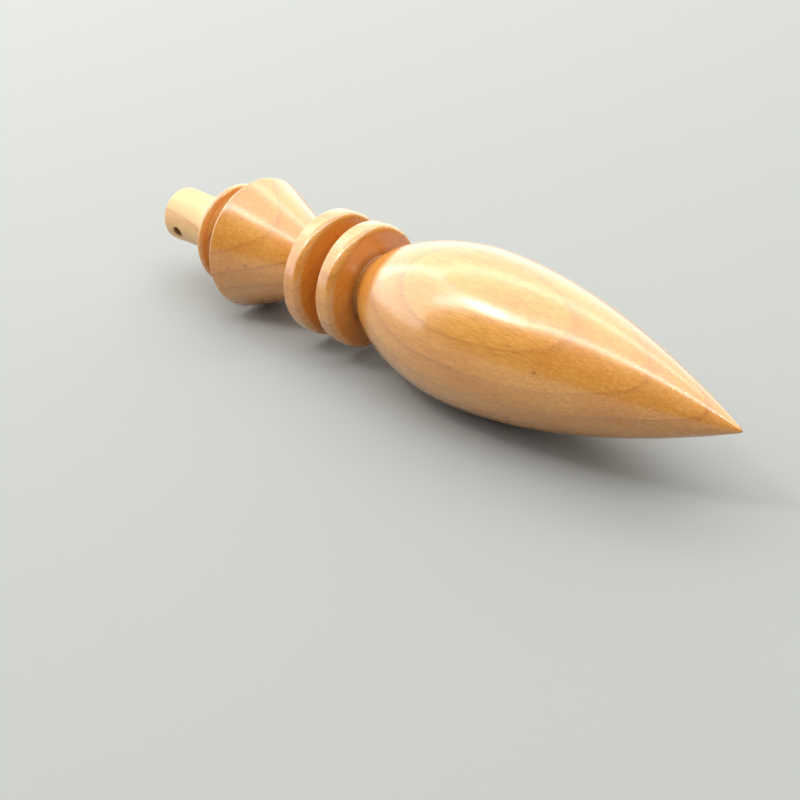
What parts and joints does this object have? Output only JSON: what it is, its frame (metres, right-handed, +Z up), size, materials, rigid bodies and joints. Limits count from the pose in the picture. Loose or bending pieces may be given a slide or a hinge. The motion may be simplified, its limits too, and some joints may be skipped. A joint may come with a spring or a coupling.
{
  "type": "wooden pendulum",
  "caption": "Turned wooden pendulum with a pointed bob, discs, a cone, a collar and a cross-drilled stem for a cord.",
  "frame": {"origin": "the middle of the box round the pendulum, on the level surface that it lies on", "axes": "+X along the pendulum towards its tip, +Z up from the surface that it lies on"},
  "size_m": [0.1, 0.0214, 0.0214],
  "materials": {
    "turned_wood": "semi-gloss"
  },
  "bodies": {
    "root": {"pendulum": "turned_wood"}
  },
  "joints": []
}
